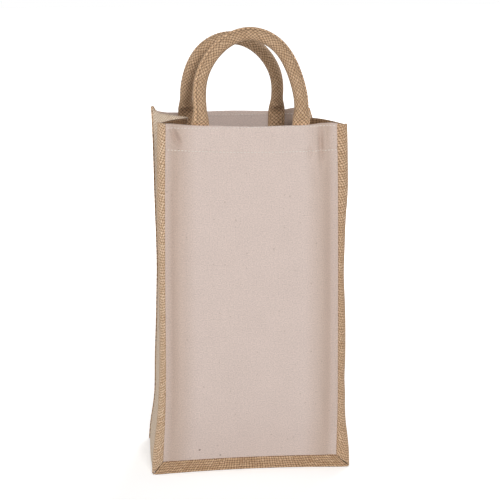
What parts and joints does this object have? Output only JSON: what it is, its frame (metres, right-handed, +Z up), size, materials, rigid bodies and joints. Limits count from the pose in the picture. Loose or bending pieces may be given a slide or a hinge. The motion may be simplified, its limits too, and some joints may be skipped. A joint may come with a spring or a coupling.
{
  "type": "wine gift bag",
  "caption": "Upright cloth gift bag for bottles, with pale canvas faces, jute gussets and borders, an inner divider and padded rope handles that swing at the rim.",
  "frame": {"origin": "on the floor, under the middle of the base", "axes": "+X towards the bag's right as seen from the front, +Y towards its back, +Z up"},
  "size_m": [0.2, 0.1, 0.4507],
  "materials": {
    "cotton_canvas": "matt plain weave",
    "jute": "coarse open plain weave",
    "handle_webbing": "herringbone webbing",
    "rope_core": "twisted cotton rope",
    "sewing_thread": "cotton thread"
  },
  "bodies": {
    "bag": {"front_panel": "cotton_canvas", "back_panel": "cotton_canvas", "bottle_divider": "cotton_canvas", "left_gusset": "jute", "right_gusset": "jute", "base_panel": "jute", "front_left_border": "jute", "front_right_border": "jute", "front_foot_border": "jute", "back_left_border": "jute", "back_right_border": "jute", "back_foot_border": "jute", "front_rim_stitches": "sewing_thread", "front_hem_stitches": "sewing_thread", "back_rim_stitches": "sewing_thread", "back_hem_stitches": "sewing_thread", "front_handle_left_tab": "handle_webbing", "front_handle_right_tab": "handle_webbing", "back_handle_left_tab": "handle_webbing", "back_handle_right_tab": "handle_webbing", "front_tab_stitches": "sewing_thread", "back_tab_stitches": "sewing_thread"},
    "front_handle": {"front_handle_cover": "handle_webbing", "front_handle_rope": "rope_core", "front_handle_seam": "sewing_thread"},
    "back_handle": {"back_handle_cover": "handle_webbing", "back_handle_rope": "rope_core", "back_handle_seam": "sewing_thread"}
  },
  "joints": [
    {"name": "front_handle_swing", "type": "hinge", "parent": "bag", "child": "front_handle", "pos_m": [0, -0.0363, 0.3674], "axis": [1, 0, 0], "range_deg": [-18, 94]},
    {"name": "back_handle_swing", "type": "hinge", "parent": "bag", "child": "back_handle", "pos_m": [-0.012, 0.0363, 0.3674], "axis": [-1, 0, 0], "range_deg": [-5, 107]}
  ]
}
